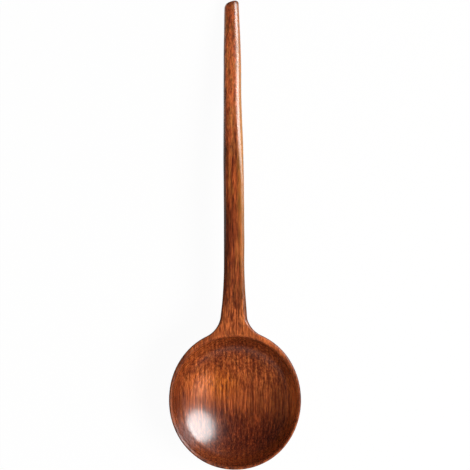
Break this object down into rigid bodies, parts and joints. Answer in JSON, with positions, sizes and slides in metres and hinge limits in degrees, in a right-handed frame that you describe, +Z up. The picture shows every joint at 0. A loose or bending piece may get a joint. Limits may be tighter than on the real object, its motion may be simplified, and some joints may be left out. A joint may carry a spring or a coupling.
{
  "type": "wooden spoon",
  "caption": "Long-handled wooden spoon with a round, deep bowl and a gently arched handle, for stirring, tasting and serving.",
  "frame": {"origin": "middle of the flat foot under the bowl, on the surface that the spoon lies on", "axes": "+Y from the bowl along the handle to its tip, +Z up out of the bowl, +X across the bowl"},
  "size_m": [0.0758, 0.2698, 0.0272],
  "materials": {
    "wood": "oiled reddish-brown hardwood, close grained, with a soft gloss"
  },
  "bodies": {
    "root": {"bowl": "wood", "handle": "wood"}
  },
  "joints": []
}
